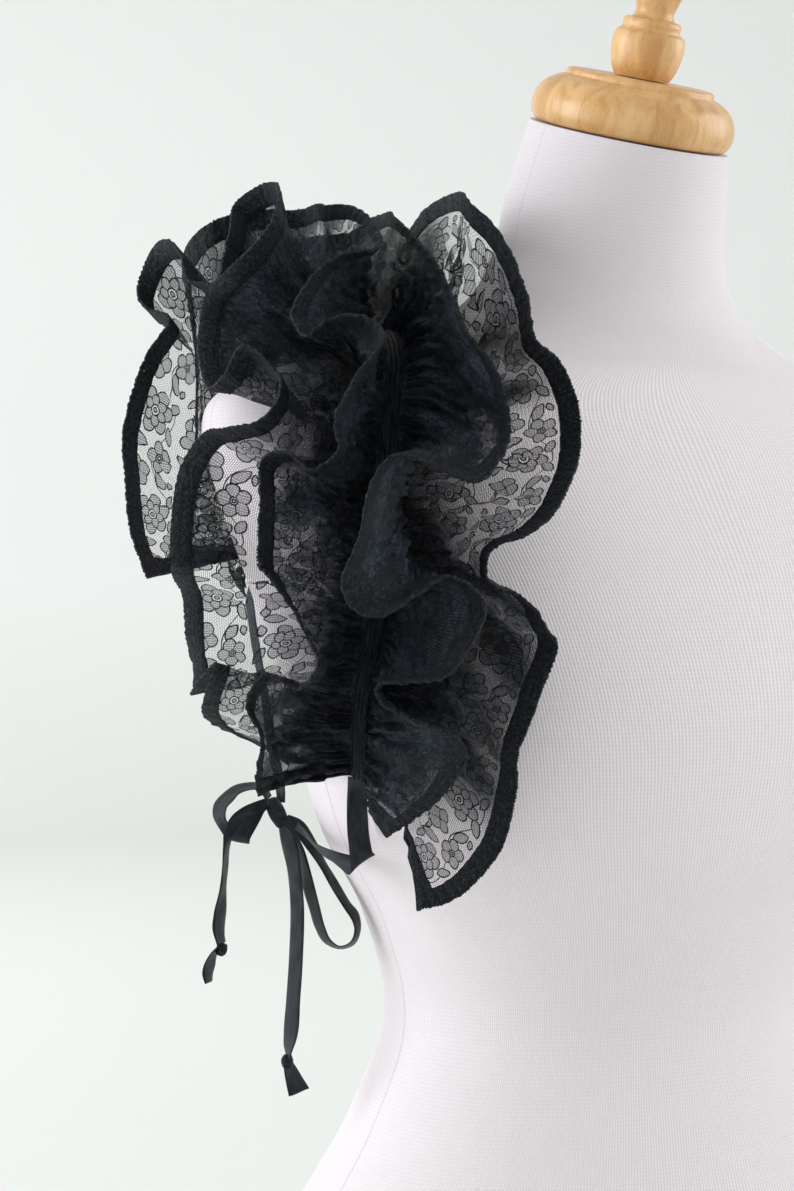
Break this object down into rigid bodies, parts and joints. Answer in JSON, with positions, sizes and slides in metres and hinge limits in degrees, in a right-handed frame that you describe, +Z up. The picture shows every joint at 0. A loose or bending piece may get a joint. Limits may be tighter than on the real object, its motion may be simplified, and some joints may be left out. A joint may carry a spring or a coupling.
{
  "type": "lace ruffle collar on a dress form",
  "caption": "Double gathered lace ruffle tied over one shoulder of a limbless dress form, with a satin ribbon bow under the arm and a turned wooden neck cap.",
  "frame": {"origin": "centre of the dress form's flat underside", "axes": "+Z up, -Y the way the form faces, +X to the form's left; the ruffle is on the form's right shoulder, on the -X side"},
  "size_m": [0.5184, 0.3247, 0.8461],
  "materials": {
    "jersey": "white ribbed jersey stretched over the form",
    "wood": "glossy varnished honey wood",
    "lace": "black floral lace on net with a dense folded hem",
    "satin": "black satin ribbon"
  },
  "bodies": {
    "root": {"form_torso": "jersey", "form_neck_cap": "wood", "form_finial": "wood", "lace_under_arm": "lace", "lace_under_neck": "lace", "lace_upper_arm": "lace", "lace_upper_neck": "lace", "casing": "satin", "ribbon_front": "satin", "ribbon_back": "satin", "bow_knot": "satin", "bow_loop_left": "satin", "bow_loop_right": "satin", "tail_short": "satin", "tail_short_knot": "satin", "tail_short_end": "satin", "tail_long": "satin", "tail_long_knot": "satin", "tail_long_end": "satin"}
  },
  "joints": []
}
